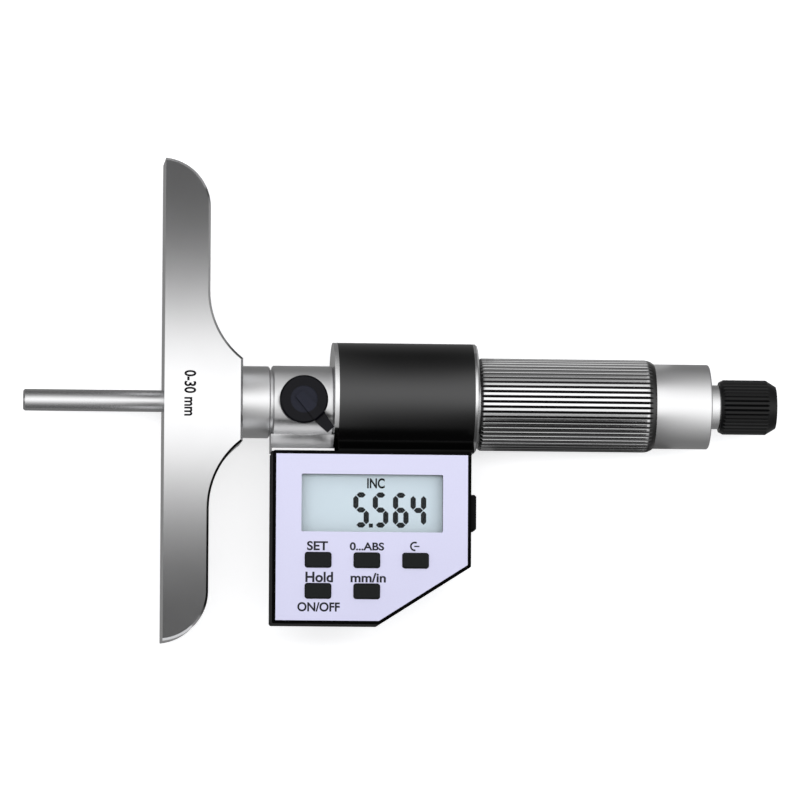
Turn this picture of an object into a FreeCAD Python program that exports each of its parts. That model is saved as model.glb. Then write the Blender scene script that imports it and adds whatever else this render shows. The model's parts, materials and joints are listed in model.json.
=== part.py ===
import FreeCAD, Part
import os
import Sketcher

# Digital depth micrometer with a rotating hollow spindle and an interchangeable measuring rod.
# X runs along the spindle, away from the measuring face; Y runs along the base; Z points out of the display.
# The origin is the centre of the base's measuring face, on the spindle's axis. Lengths are in millimetres.

SIZES = {
    # measuring base
    "base_half_length": 50.8,
    "base_depth": 16.0,
    "horn_thickness": 9.5,
    "horn_radius": 10.5,
    "boss_reach": 16.5,
    "boss_half_height": 8.7,
    "boss_blend": 17.9,
    "base_bevel": 0.5,
    # fits
    "seat_gap": 0.02,
    "running_gap": 0.03,
    "rod_clearance": 0.1,
    "end_play": 0.1,
    # measuring rod
    "rod_radius": 2.3,
    "rod_reach": 29.4,
    "rod_tip_bevel": 0.35,
    "rod_nut_radius": 4.4,
    "rod_nut_length": 1.6,
    "rod_head_length": 1.4,
    "rod_washer_thickness": 0.4,
    # spindle and its travel
    "travel": 30.0,
    "spindle_radius": 4.0,
    "spindle_inset": 7.5,
    "rod_guide_length": 6.0,
    "journal_radius": 5.0,
    "journal_length": 4.8,
    "shoulder_radius": 6.4,
    "shoulder_thickness": 0.6,
    "hub_gap": 0.6,
    # stem between base and clamp
    "shank_radius": 6.0,
    "shank_length": 7.0,
    "collar_radius": 7.6,
    "collar_length": 5.9,
    "groove_radius": 6.9,
    "groove_length": 0.5,
    "spigot_radius": 6.3,
    "spigot_length": 2.5,
    "edge_bevel": 0.3,
    # clamp body
    "clamp_radius": 7.75,
    "clamp_length": 12.8,
    "thread_radius": 7.0,
    "thread_length": 3.9,
    "foot_overhang": 0.3,
    "foot_front": 8.6,
    "foot_lip": 0.6,
    "foot_top": 6.9,
    "foot_flare": 4.6,
    # rotating quill and encoder
    "quill_radius": 5.5,
    "quill_flange_radius": 6.6,
    "quill_flange_thickness": 1.0,
    "quill_journal_radius": 5.0,
    "key_width": 1.2,
    "key_length": 3.0,
    "key_depth": 0.8,
    "rotor_radius": 7.6,
    "rotor_thickness": 0.8,
    "stator_thickness": 0.8,
    "encoder_gap": 0.4,
    "ribbon_width": 2.4,
    "ribbon_level": 3.6,
    "ribbon_thickness": 0.2,
    "ribbon_slot": 0.3,
    "ribbon_reach": 13.6,
    # encoder cup, sleeves and nut
    "cup_radius": 9.1,
    "cup_bore": 8.0,
    "cup_depth": 10.4,
    "cup_wall": 2.5,
    "inner_sleeve_radius": 6.5,
    "sleeve_radius": 8.2,
    "bearing_length": 12.0,
    "sleeve_bore": 4.4,
    "nut_margin": 0.4,
    "nut_length": 3.0,
    "nut_thread_length": 12.0,
    "nut_slit": 0.8,
    "nut_notch": 1.0,
    # encoder cover
    "cover_radius": 11.55,
    "cover_wall": 1.15,
    "cover_length": 28.6,
    "cover_rise": 1.2,
    "plate_thickness": 0.9,
    "ring_thickness": 0.9,
    "ring_bevel": 0.35,
    "ring_spigot": 2.0,
    "pedestal_front": 8.6,
    "pedestal_lip": 0.6,
    "pedestal_rise": 2.6,
    "pedestal_flare": 6.0,
    # thimble, cap and ratchet
    "thimble_radius": 9.77,
    "thimble_wall": 1.42,
    "thimble_gap": 0.4,
    "thimble_lead": 0.9,
    "thimble_lead_drop": 0.45,
    "web_thickness": 2.6,
    "flute_depth": 0.34,
    "flute_width": 0.62,
    "shoulder_length": 2.2,
    "shoulder_drop": 0.82,
    "cap_radius": 8.95,
    "cap_wall": 3.5,
    "cap_bevel": 0.45,
    "neck_radius": 3.9,
    "neck_length": 0.5,
    "ratchet_collar_radius": 4.65,
    "ratchet_collar_length": 1.6,
    "ratchet_journal_radius": 2.2,
    "ratchet_stub_radius": 2.6,
    "knob_radius": 5.78,
    "knob_length": 12.0,
    "knob_gap": 0.2,
    "knob_bore": 4.5,
    "knob_cavity_length": 6.7,
    "knob_web": 1.8,
    "knob_lead": 0.9,
    "knob_tail_length": 2.1,
    "knob_tail_drop": 1.3,
    "knob_flute_depth": 0.28,
    "knob_flute_width": 0.54,
    "ratchet_wheel_radius": 4.2,
    "ratchet_wheel_length": 1.5,
    "ratchet_tooth": 0.4,
    "pawl_length": 1.5,
    "knob_screw_head_radius": 2.5,
    "knob_screw_head_length": 1.3,
    "knob_screw_radius": 1.1,
    "knob_screw_length": 4.0,
    "knob_screw_slot": 0.6,
    "spring_bore": 2.9,
    "spring_radius": 3.9,
    "knob_recess_radius": 2.8,
    # lock lever
    "lock_offset": 6.3,
    "lock_stud_radius": 1.75,
    "lock_flat": 7.2,
    "lock_flat_radius": 3.3,
    "lock_washer_radius": 3.0,
    "lock_washer_thickness": 0.8,
    "lock_shoe_length": 0.8,
    "lever_radius": 5.07,
    "lever_thickness": 2.4,
    "lever_bevel": 0.35,
    "lever_reach": 8.5,
    "lever_root_width": 2.7,
    "lever_tip_width": 1.8,
    "lever_bore_depth": 1.2,
    "lever_rib_width": 2.0,
    "lever_rib_height": 0.5,
    "lever_rib_slope": 0.45,
    "lever_rib_tail": 1.6,
    "lever_arm_drop": 0.5,
    "lever_arm_thickness": 1.2,
    "lever_disc_recess": 0.25,
    "lever_recess_radius": 2.85,
    "lever_angle": 48.0,
    # display housing
    "housing_left": 22.7,
    "housing_right": 64.4,
    "housing_top": 10.8,
    "housing_bottom": 47.15,
    "housing_front": 11.0,
    "housing_parting": 1.5,
    "housing_back": 1.5,
    "cut_right": 34.95,
    "cut_bottom": 45.3,
    "housing_wall": 1.6,
    "front_wall": 1.2,
    "back_wall": 1.2,
    "corner_radius": 0.5,
    "lip_gap": 0.05,
    "lip_height": 0.6,
    "lip_thickness": 0.7,
    "panel_margin": 0.7,
    "panel_thickness": 0.3,
    "window_left": 28.75,
    "window_right": 58.45,
    "window_top": 15.7,
    "window_bottom": 27.8,
    "window_corner": 0.3,
    "pane_margin": 0.7,
    "pane_thickness": 0.8,
    "display_gap": 0.1,
    "display_thickness": 1.6,
    "strip_width": 1.4,
    "board_front": 5.8,
    "board_thickness": 0.8,
    "board_gap": 0.4,
    # buttons
    "button_width": 5.4,
    "button_height": 3.1,
    "button_corner": 0.5,
    "button_stand": 0.5,
    "button_gap": 0.12,
    "button_flange": 0.6,
    "button_flange_thickness": 0.9,
    "button_left": 32.3,
    "button_pitch": 10.22,
    "button_upper_row": 33.75,
    "button_lower_row": 40.25,
    "button_travel": 0.4,
    "button_bevel": 0.25,
    "keypad_sheet": 0.5,
    "keypad_dome": 0.6,
    "keypad_margin": 1.7,
    "dome_radius": 1.5,
    # battery
    "cell_radius": 10.0,
    "cell_thickness": 3.2,
    "cell_step": 0.6,
    "cell_across": 37.6,
    "cell_down": 30.2,
    "cell_gap": 0.3,
    "battery_cap_radius": 10.9,
    "battery_cap_thickness": 1.0,
    "coin_slot_width": 1.8,
    "coin_slot_length": 12.0,
    "coin_slot_depth": 0.6,
    "cell_ring_wall": 1.0,
    "contact_width": 3.0,
    "contact_thickness": 0.2,
    # data socket
    "port_top": 19.6,
    "port_bottom": 27.2,
    "port_front": 8.3,
    "port_back": 2.6,
    "port_cover_thickness": 1.3,
    "port_cover_bevel": 0.4,
    "port_plug_inset": 0.9,
    "port_plug_gap": 0.08,
    "port_plug_reach": 1.4,
    "connector_length": 3.0,
    # screws
    "post_radius": 1.6,
    "post_inset": 1.9,
    "post_lift": 2.95,
    "screw_radius": 0.7,
    "screw_head_radius": 1.3,
    "screw_head_length": 0.8,
    "screw_bite": 2.5,
    "cross_width": 0.5,
    "cross_length": 1.6,
    "cross_depth": 0.45,
    "foot_screw_radius": 0.8,
    "foot_screw_head_radius": 1.25,
    "foot_screw_head_length": 1.0,
    "foot_screw_first": 6.7,
    "foot_screw_pitch": 3.8,
    "foot_screw_level": 3.45,
    "foot_screw_bite": 2.4,
}

FLUTES = 56
KNOB_FLUTES = 36
RATCHET_TEETH = 12

document = FreeCAD.newDocument("DepthMicrometer")
sheet = document.addObject("Spreadsheet::Sheet", "Sizes")
for row, (alias, length) in enumerate(SIZES.items(), start=1):
    sheet.set(f"A{row}", alias)
    sheet.set(f"B{row}", str(length))
    sheet.setAlias(f"B{row}", alias)
document.recompute()


class Size:
    """A length worked out from the sheet: its value, and the expression that binds it."""

    def __init__(self, value, text):
        self.value = float(value)
        self.text = text

    def __add__(self, other):
        other = sized(other)
        return Size(self.value + other.value, f"({self.text} + {other.text})")

    def __radd__(self, other):
        return sized(other) + self

    def __sub__(self, other):
        other = sized(other)
        return Size(self.value - other.value, f"({self.text} - {other.text})")

    def __rsub__(self, other):
        return sized(other) - self

    def __mul__(self, other):
        other = sized(other)
        return Size(self.value * other.value, f"({self.text} * {other.text})")

    def __rmul__(self, other):
        return sized(other) * self

    def __truediv__(self, other):
        other = sized(other)
        return Size(self.value / other.value, f"({self.text} / {other.text})")

    def __neg__(self):
        return Size(-self.value, f"(0 - {self.text})")


def sized(length):
    """Turns a plain number into a Size and leaves a Size as it is."""
    return length if isinstance(length, Size) else Size(length, repr(float(length)))


def root(size):
    return Size(size.value**0.5, f"sqrt({size.text})")


def size(alias):
    """The Size held in one cell of the sheet."""
    return Size(sheet.get(alias), f"Sizes.{alias}")


class Sheet:
    """Gives the sheet's cells by name, as sizes."""

    def __getattr__(self, alias):
        return size(alias)


s = Sheet()


def bind(thing, name, length):
    """Sets a property from a size and ties it to the sheet."""
    length = sized(length)
    thing.setExpression(name, length.text)


# ---- sketches and features -----------------------------------------------------------------------


def new_body(label, at=(0, 0, 0)):
    """An empty body named label, whose own origin stands at a place in the part's frame."""
    body = document.addObject("PartDesign::Body", label)
    body.Label = label
    for axis, length in zip("xyz", at):
        if isinstance(length, Size):
            bind(body, f"Placement.Base.{axis}", length)
    return body


def origin_plane(body, role):
    return next(feature for feature in body.Origin.OriginFeatures if feature.Role == role)


def arc_between(start, end, radius):
    """The arc from start to end, turning left where radius is positive, and whether its ends are swapped."""
    middle = (start + end) * 0.5
    across = end - start
    rise = (radius * radius - (across.Length / 2) ** 2) ** 0.5
    left = FreeCAD.Vector(-across.y, across.x, 0).normalize()
    centre = middle + left * (rise if radius > 0 else -rise)
    circle = Part.Circle(centre, FreeCAD.Vector(0, 0, 1), abs(radius))
    first, last = (start, end) if radius > 0 else (end, start)
    return Part.ArcOfCircle(circle, circle.parameter(first), circle.parameter(last)), radius < 0


def draw(sketch, corners):
    """Closes an outline through corners (across, up) or (across, up, radius).

    The edge that arrives at a corner with a radius is an arc, which turns left where the radius is positive.
    """
    first_edge = sketch.GeometryCount
    corners = [tuple(sized(length) for length in corner) for corner in corners]
    points = [FreeCAD.Vector(corner[0].value, corner[1].value, 0) for corner in corners]
    swapped = []
    for place, corner in enumerate(corners):
        start, end = points[place - 1], points[place]
        turned_round = False
        if len(corner) == 3:
            edge, turned_round = arc_between(start, end, corner[2].value)
        else:
            edge = Part.LineSegment(start, end)
        sketch.addGeometry(edge, False)
        swapped.append(turned_round)
    for place, corner in enumerate(corners):
        edge = first_edge + place
        following = first_edge + (place + 1) % len(corners)
        end_point = 1 if swapped[place] else 2
        start_point = 2 if swapped[(place + 1) % len(corners)] else 1
        sketch.addConstraint(Sketcher.Constraint("Coincident", edge, end_point, following, start_point))
        for kind, length in (("DistanceX", corner[0]), ("DistanceY", corner[1])):
            held = sketch.addConstraint(Sketcher.Constraint(kind, -1, 1, edge, end_point, length.value))
            sketch.setExpression(f"Constraints[{held}]", length.text)
        if len(corner) == 3:
            radius = corner[2] if corner[2].value > 0 else -corner[2]
            held = sketch.addConstraint(Sketcher.Constraint("Radius", edge, radius.value))
            sketch.setExpression(f"Constraints[{held}]", radius.text)


def draw_circle(sketch, centre, radius):
    """A circle around centre, tied to the sheet."""
    across, up = (sized(length) for length in centre)
    radius = sized(radius)
    middle = FreeCAD.Vector(across.value, up.value, 0)
    edge = sketch.addGeometry(Part.Circle(middle, FreeCAD.Vector(0, 0, 1), radius.value), False)
    for kind, length in (("DistanceX", across), ("DistanceY", up)):
        held = sketch.addConstraint(Sketcher.Constraint(kind, -1, 1, edge, 3, length.value))
        sketch.setExpression(f"Constraints[{held}]", length.text)
    held = sketch.addConstraint(Sketcher.Constraint("Radius", edge, radius.value))
    sketch.setExpression(f"Constraints[{held}]", radius.text)


def new_sketch(body, role, level=0):
    """An empty sketch on one of the body's own origin planes, lifted to level along the plane's normal."""
    sketch = body.newObject("Sketcher::SketchObject", body.Label + "_sketch")
    sketch.AttachmentSupport = [(origin_plane(body, role), "")]
    sketch.MapMode = "FlatFace"
    if isinstance(level, Size):
        bind(sketch, "AttachmentOffset.Base.z", level)
    return sketch


AXIS_SKETCH = {
    "X": ("XY_Plane", "H_Axis", lambda along, out: (along, out)),
    "Y": ("XY_Plane", "V_Axis", lambda along, out: (out, along)),
    "Z": ("XZ_Plane", "V_Axis", lambda along, out: (out, along)),
}


def axis_sketch(body, axis, corners):
    """A sketch of (along, out) corners beside one axis, and the axis to turn it round."""
    role, turn_axis, place = AXIS_SKETCH[axis]
    sketch = new_sketch(body, role)
    draw(sketch, [place(*corner[:2]) + tuple(corner[2:]) for corner in corners])
    return sketch, (sketch, [turn_axis])


def turn(body, corners, axis="X"):
    """Adds a turned form whose (along, out) corners go round an axis."""
    sketch, turn_axis = axis_sketch(body, axis, corners)
    feature = body.newObject("PartDesign::Revolution", body.Label + "_turned")
    feature.Profile = sketch
    feature.ReferenceAxis = turn_axis
    feature.Angle = 360
    return feature


def turned(label, corners, axis="X", at=(0, 0, 0)):
    """A turned piece."""
    body = new_body(label, at)
    turn(body, corners, axis)
    return body


def tube(start, end, bore, radius):
    """The four corners of a plain ring's section."""
    return [(start, bore), (end, bore), (end, radius), (start, radius)]


def core(start, end, radius):
    """The section of a round bore on the axis."""
    return tube(start, end, 0, radius)


def checked_cut(body, feature):
    """Makes sure that a cut has taken material away."""
    before = feature.BaseFeature.Shape.Volume
    document.recompute()
    if not feature.Shape.Volume < before - 1e-6:
        raise RuntimeError(f"{feature.Label} cuts nothing")
    return feature


def groove(body, corners, axis="X"):
    """Turns a cut whose (along, out) corners go round an axis."""
    sketch, turn_axis = axis_sketch(body, axis, corners)
    document.recompute()
    feature = body.newObject("PartDesign::Groove", body.Label + "_groove")
    feature.Profile = sketch
    feature.ReferenceAxis = turn_axis
    feature.Angle = 360
    return checked_cut(body, feature)


def pad(body, sketch, length):
    """Raises a sketch along its plane's normal."""
    feature = body.newObject("PartDesign::Pad", body.Label + "_pad")
    feature.Profile = sketch
    bind(feature, "Length", length)
    return feature


def block(body, corners, low, high, role="XY_Plane"):
    """Adds an upright form with the given outline, between two levels."""
    sketch = new_sketch(body, role, low)
    draw(sketch, corners)
    return pad(body, sketch, sized(high) - low)


def disc(body, centre, radius, low, high, role="XY_Plane"):
    """Adds a round post between two levels."""
    sketch = new_sketch(body, role, low)
    draw_circle(sketch, centre, radius)
    return pad(body, sketch, sized(high) - low)


def pocket(body, sketch, length):
    """Cuts a sketch away along its plane's normal."""
    document.recompute()
    feature = body.newObject("PartDesign::Pocket", body.Label + "_pocket")
    feature.Profile = sketch
    feature.Reversed = True
    bind(feature, "Length", length)
    return checked_cut(body, feature)


def cut_block(body, corners, low, high, role="XY_Plane"):
    """Cuts away an upright form between two levels."""
    sketch = new_sketch(body, role, low)
    draw(sketch, corners)
    return pocket(body, sketch, sized(high) - low)


def cut_disc(body, centre, radius, low, high, role="XY_Plane"):
    """Cuts a round hole between two levels."""
    sketch = new_sketch(body, role, low)
    draw_circle(sketch, centre, radius)
    return pocket(body, sketch, sized(high) - low)


def box(left, right, low, high):
    """The corners of a rectangle."""
    return [(right, low), (right, high), (left, high), (left, low)]


def rounded_box(left, right, low, high, radius):
    """The corners of a rectangle with round corners."""
    return [
        (right - radius, low),
        (right, low + radius, radius),
        (right, high - radius),
        (right - radius, high, radius),
        (left + radius, high),
        (left, high - radius, radius),
        (left, low + radius),
        (left + radius, low, radius),
    ]


def edges_of(shape, wanted):
    """The names of the edges for which wanted(edge) is true."""
    return [f"Edge{number}" for number, edge in enumerate(shape.Edges, start=1) if wanted(edge)]


def dress(body, kind, length, wanted):
    """Adds a Fillet or a Chamfer along the chosen edges of the body's tip."""
    document.recompute()
    base = body.Tip
    feature = body.newObject(f"PartDesign::{kind}", f"{body.Label}_{kind.lower()}")
    feature.Base = (base, edges_of(base.Shape, wanted))
    bind(feature, "Radius" if kind == "Fillet" else "Size", length)
    document.recompute()
    return feature


def at_level(edge, level, axis="z"):
    """Whether an edge lies wholly at one level."""
    box_of = edge.BoundBox
    low, high = getattr(box_of, f"{axis.upper()}Min"), getattr(box_of, f"{axis.upper()}Max")
    return abs(low - level.value) < 1e-4 and abs(high - level.value) < 1e-4


def ring_pattern(body, original, count, axis, angle=360):
    """Repeats one feature around an origin axis."""
    feature = body.newObject("PartDesign::PolarPattern", body.Label + "_pattern")
    feature.Originals = [original]
    feature.Axis = (origin_plane(body, f"{axis}_Axis"), [""])
    feature.Angle = angle
    feature.Occurrences = count
    body.Tip = feature
    return feature


def copies(label, master, places):
    """One node that holds equal pieces, each moved from the master's own origin."""
    piece = document.addObject("Part::Feature", label)
    piece.Label = label
    document.recompute()
    solids = []
    for place in places:
        solid = master.Shape.copy()
        solid.translate(FreeCAD.Vector(*(sized(length).value for length in place)))
        solids.append(solid)
    piece.Shape = Part.makeCompound(solids)
    return piece


# ---- places along the spindle's axis -------------------------------------------------------------

collar_start = s.boss_reach
collar_end = collar_start + s.collar_length
clamp_start = collar_end + s.groove_length
clamp_end = clamp_start + s.clamp_length
thread_end = clamp_end + s.thread_length
plate_end = clamp_end + s.plate_thickness
cup_floor = plate_end + s.cup_depth
cup_end = cup_floor + s.cup_wall
cover_end = plate_end + s.cover_length
ring_end = cover_end + s.ring_thickness
thimble_start = ring_end + s.thimble_gap
nut_start = thimble_start + s.travel + s.nut_margin
nut_end = nut_start + s.nut_length
sleeve_end = nut_end + s.end_play
shoulder_start = sleeve_end + s.hub_gap
web_start = shoulder_start + s.shoulder_thickness
thimble_end = web_start + s.web_thickness
spindle_end = thimble_end + s.journal_length
rod_nut_end = spindle_end + s.rod_nut_length
rod_end = rod_nut_end + s.rod_head_length
cap_cavity_end = rod_end + s.rod_washer_thickness
cap_end = cap_cavity_end + s.cap_wall
neck_end = cap_end + s.neck_length
ratchet_collar_end = neck_end + s.ratchet_collar_length
knob_start = ratchet_collar_end + s.knob_gap
knob_cavity_end = knob_start + s.knob_cavity_length
knob_recess_start = knob_cavity_end + s.knob_web
knob_end = knob_start + s.knob_length

quill_start = clamp_start + s.spigot_length + s.end_play
quill_flange_start = thread_end + s.end_play
quill_flange_end = quill_flange_start + s.quill_flange_thickness
quill_end = cup_floor - s.end_play
rotor_start = quill_flange_end + s.rotor_thickness
rotor_end = rotor_start + s.rotor_thickness
stator_start = rotor_end + s.encoder_gap
stator_end = stator_start + s.stator_thickness
key_start = rotor_end + s.encoder_gap
key_end = key_start + s.key_length

rod_bore = s.rod_radius + s.rod_clearance
spindle_bore = s.spindle_radius + s.running_gap
thimble_bore = s.thimble_radius - s.thimble_wall
outer_sleeve_bore = s.inner_sleeve_radius + s.seat_gap
lock_across = clamp_start + s.lock_offset


# ---- measuring base ------------------------------------------------------------------------------


def arc_rise(radius, across):
    """How far an arc rises while it moves across by a given width from where it is upright."""
    rest = radius - across
    return root(radius * radius - rest * rest)


def base_outline():
    """The T of the base: a straight measuring face, rounded horns and a waist that blends into the boss."""
    horn_top = s.base_half_length - arc_rise(s.horn_radius, s.horn_thickness)
    waist = s.boss_half_height + arc_rise(s.boss_blend, s.boss_reach - s.horn_thickness)
    return [
        (0, -s.base_half_length),
        (s.horn_thickness, -horn_top, s.horn_radius),
        (s.horn_thickness, -waist),
        (s.boss_reach, -s.boss_half_height, -s.boss_blend),
        (s.boss_reach, s.boss_half_height),
        (s.horn_thickness, waist, -s.boss_blend),
        (s.horn_thickness, horn_top),
        (0, s.base_half_length, s.horn_radius),
    ]


def measuring_base():
    body = new_body("measuring_base")
    half_depth = s.base_depth / 2
    block(body, base_outline(), -half_depth, half_depth)

    def rear_rim(edge):
        level_edge = at_level(edge, half_depth) or at_level(edge, -half_depth)
        return level_edge and not at_level(edge, sized(0), "x")

    dress(body, "Chamfer", s.base_bevel, rear_rim)
    groove(body, core(-1, s.boss_reach + 1, rod_bore))
    groove(body, core(s.rod_guide_length, s.boss_reach + 1, spindle_bore + s.end_play))
    groove(body, core(collar_start - s.shank_length, s.boss_reach + 1, s.shank_radius + s.seat_gap))
    return body


# ---- stem and clamp ------------------------------------------------------------------------------


def stem_collar():
    bore = spindle_bore + s.end_play
    return turned("stem_collar", [
        (collar_start - s.shank_length, bore),
        (clamp_start + s.spigot_length, bore),
        (clamp_start + s.spigot_length, s.spigot_radius),
        (clamp_start, s.spigot_radius),
        (clamp_start, s.groove_radius),
        (collar_end, s.groove_radius),
        (collar_end, s.collar_radius - s.edge_bevel),
        (collar_end - s.edge_bevel, s.collar_radius),
        (collar_start, s.collar_radius),
        (collar_start, s.shank_radius),
        (collar_start - s.shank_length, s.shank_radius),
    ])


def clamp_body():
    """The round clamp body with its foot, whose front flares out of the barrel."""
    body = new_body("clamp_body")
    turn(body, [
        (clamp_start, 0),
        (thread_end, 0),
        (thread_end, s.thread_radius),
        (clamp_end, s.thread_radius),
        (clamp_end, s.clamp_radius - s.edge_bevel),
        (clamp_end - s.edge_bevel, s.clamp_radius),
        (clamp_start + s.edge_bevel, s.clamp_radius),
        (clamp_start, s.clamp_radius - s.edge_bevel),
    ])
    barrel_level = root(s.clamp_radius * s.clamp_radius - s.foot_top * s.foot_top)
    foot = [
        (-s.housing_top, -s.housing_back),
        (-s.housing_top, s.foot_front),
        (s.foot_lip - s.housing_top, s.foot_front),
        (-s.foot_top, barrel_level, s.foot_flare),
        (-s.quill_radius, -s.housing_back),
    ]
    block(body, foot, clamp_start - s.foot_overhang, clamp_end, "YZ_Plane")
    groove(body, core(clamp_start - 1, thread_end + 1, s.quill_radius + s.running_gap))
    groove(body, core(clamp_start - 1, clamp_start + s.spigot_length, s.spigot_radius + s.seat_gap))
    groove(body, core(clamp_start - 1, clamp_start, s.groove_radius + s.seat_gap))
    cut_disc(body, (lock_across, 0), s.lock_flat_radius, s.lock_flat, s.clamp_radius + 1)
    cut_disc(body, (lock_across, 0), s.lock_stud_radius + s.seat_gap, s.quill_radius / 2, s.lock_flat + 1)
    for across in foot_screw_places:
        bore_down(body, across, s.foot_screw_level, s.foot_screw_radius + s.seat_gap,
                  s.housing_top - s.foot_screw_bite, s.housing_top + 1)
    return body


def lock_washer():
    section = tube(s.lock_flat, lock_washer_top, s.lock_stud_radius + s.seat_gap, s.lock_washer_radius)
    return turned("lock_washer", section, "Z", (lock_across, 0, 0))


def lock_shoe():
    """The brass shoe that the lock stud presses on the quill."""
    return turned("lock_shoe", core(shoe_start, shoe_end, s.lock_stud_radius), "Z", (lock_across, 0, 0))


def lock_stud():
    return turned("lock_stud", core(stud_start, stud_end, s.lock_stud_radius), "Z", (lock_across, 0, 0))


def lever_sketch(body, level):
    """A sketch at one level of the lever, turned so that its first direction runs along the arm."""
    sketch = new_sketch(body, "XY_Plane", level)
    bind(sketch, "AttachmentOffset.Rotation.Angle", -s.lever_angle)
    sketch.AttachmentOffset.Rotation.Axis = FreeCAD.Vector(0, 0, 1)
    return sketch


def lock_lever():
    """The closed round head with its recess and raised rib, and the arm that leaves it lower down and tapers."""
    body = new_body("lock_lever", (lock_across, 0, 0))
    bore = s.lock_stud_radius + s.seat_gap
    turn(body, [
        (lever_start, bore),
        (lever_bore_end, bore),
        (lever_bore_end, 0),
        (lever_top, 0),
        (lever_top, s.lever_radius - s.lever_bevel),
        (lever_top - s.lever_bevel, s.lever_radius),
        (lever_start, s.lever_radius),
    ], "Z")
    groove(body, core(lever_top - s.lever_disc_recess, lever_top + 1, s.lever_recess_radius), "Z")
    arm_top = lever_top - s.lever_arm_drop
    arm = lever_sketch(body, arm_top - s.lever_arm_thickness)
    draw(arm, [
        (s.lever_radius / 2, -s.lever_root_width / 2),
        (s.lever_radius, -s.lever_root_width / 2),
        (s.lever_reach, -s.lever_tip_width / 2),
        (s.lever_reach, s.lever_tip_width / 2),
        (s.lever_radius, s.lever_root_width / 2),
        (s.lever_radius / 2, s.lever_root_width / 2),
    ])
    pad(body, arm, s.lever_arm_thickness)
    rib = lever_sketch(body, arm_top)
    draw(rib, [
        (-s.lever_rib_tail, -s.lever_rib_width / 2),
        (s.lever_radius, -s.lever_root_width / 2),
        (s.lever_radius, s.lever_root_width / 2),
        (-s.lever_rib_tail, s.lever_rib_width / 2),
    ])
    pad(body, rib, s.lever_arm_drop + s.lever_rib_height)
    rib_top = lever_top + s.lever_rib_height
    far_end = s.lever_radius.value - s.lever_rib_slope.value
    dress(body, "Chamfer", s.lever_rib_slope,
          lambda edge: at_level(edge, rib_top) and lever_distance(edge) > far_end)
    return body


def lever_distance(edge):
    """How far the middle of an edge lies from the lever's own axis."""
    middle = edge.BoundBox.Center
    return (middle.x**2 + middle.y**2) ** 0.5


# ---- quill and encoder ---------------------------------------------------------------------------


def quill():
    """The turning quill that carries the encoder's rotor, with the slot for its key."""
    body = turned("quill", [
        (quill_start, spindle_bore),
        (quill_end, spindle_bore),
        (quill_end, s.quill_journal_radius),
        (quill_flange_end, s.quill_journal_radius),
        (quill_flange_end, s.quill_flange_radius),
        (quill_flange_start, s.quill_flange_radius),
        (quill_flange_start, s.quill_radius),
        (quill_start, s.quill_radius),
    ])
    half_key = s.key_width / 2
    cut_block(body, box(key_start, key_end, s.spindle_radius / 2, s.quill_radius), -half_key, half_key)
    return body


def drive_key():
    """The key that turns the quill with the spindle and lets the spindle slide."""
    body = new_body("drive_key")
    half_key = s.key_width / 2
    foot = s.spindle_radius - s.key_depth + s.running_gap
    block(body, box(key_start, key_end, foot, s.quill_journal_radius - s.running_gap), -half_key, half_key)
    return body


def encoder_rotor():
    bore = s.quill_journal_radius + s.seat_gap
    return turned("encoder_rotor", [
        (quill_flange_end, bore),
        (rotor_end, bore),
        (rotor_end, s.rotor_radius),
        (rotor_start, s.rotor_radius),
        (rotor_start, s.quill_flange_radius),
        (quill_flange_end, s.quill_flange_radius),
    ])


def encoder_stator():
    bore = s.quill_journal_radius + s.encoder_gap
    return turned("encoder_stator", tube(stator_start, stator_end, bore, s.cup_bore - s.seat_gap))


def stator_holder():
    section = tube(stator_end, cup_floor, s.quill_flange_radius, s.cup_bore - s.seat_gap)
    return turned("stator_holder", section)


def ribbon_hole(gap):
    """The upright slot that the encoder's ribbon passes through: its sides across X and its two levels."""
    left = stator_start - gap
    right = stator_start + s.ribbon_thickness + gap
    low = s.ribbon_level - s.ribbon_width / 2 - gap
    return left, right, low, low + s.ribbon_width + gap * 2


def encoder_ribbon():
    """The flat lead from the encoder's stator to the circuit board."""
    left, right, low, high = ribbon_hole(sized(0))
    body = new_body("encoder_ribbon", (-s.ribbon_thickness, 0, 0))
    block(body, box(left, right, -s.ribbon_reach, s.seat_gap - s.quill_flange_radius), low, high)
    return body


def ribbon_socket():
    """The socket under the circuit board that takes the ribbon."""
    left, right, low, high = ribbon_hole(s.ribbon_slot * 3)
    body = new_body("ribbon_socket", (-s.ribbon_thickness, 0, 0))
    block(body, box(left, right, -(s.ribbon_reach + s.ribbon_width), -s.ribbon_reach), low, board_back)
    return body


# ---- cup, sleeves and cover ----------------------------------------------------------------------


def inner_sleeve():
    """The encoder cup, in one with the sleeve that bears and threads the spindle."""
    thread_mouth = thread_end + s.end_play
    body = turned("inner_sleeve", [
        (plate_end, s.thread_radius + s.seat_gap),
        (thread_mouth, s.thread_radius + s.seat_gap),
        (thread_mouth, s.cup_bore),
        (cup_floor, s.cup_bore),
        (cup_floor, spindle_bore),
        (cup_floor + s.bearing_length, spindle_bore),
        (cup_floor + s.bearing_length, s.sleeve_bore),
        (sleeve_end - s.nut_thread_length, s.sleeve_bore),
        (sleeve_end - s.nut_thread_length, spindle_bore),
        (sleeve_end, spindle_bore),
        (sleeve_end, s.inner_sleeve_radius),
        (cup_end, s.inner_sleeve_radius),
        (cup_end, s.cup_radius),
        (plate_end, s.cup_radius),
    ])
    left, right, low, high = ribbon_hole(s.ribbon_slot)
    cut_block(body, box(left - s.ribbon_thickness, right, -s.cup_radius - 1, -s.quill_radius), low, high)
    half_slit = s.nut_slit / 2
    cut_block(body, box(sleeve_end - s.nut_thread_length, sleeve_end + 1, -half_slit, half_slit),
              -s.inner_sleeve_radius - 1, s.inner_sleeve_radius + 1)
    return body


def outer_sleeve():
    return turned("outer_sleeve", tube(cup_end, nut_start, outer_sleeve_bore, s.sleeve_radius))


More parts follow.
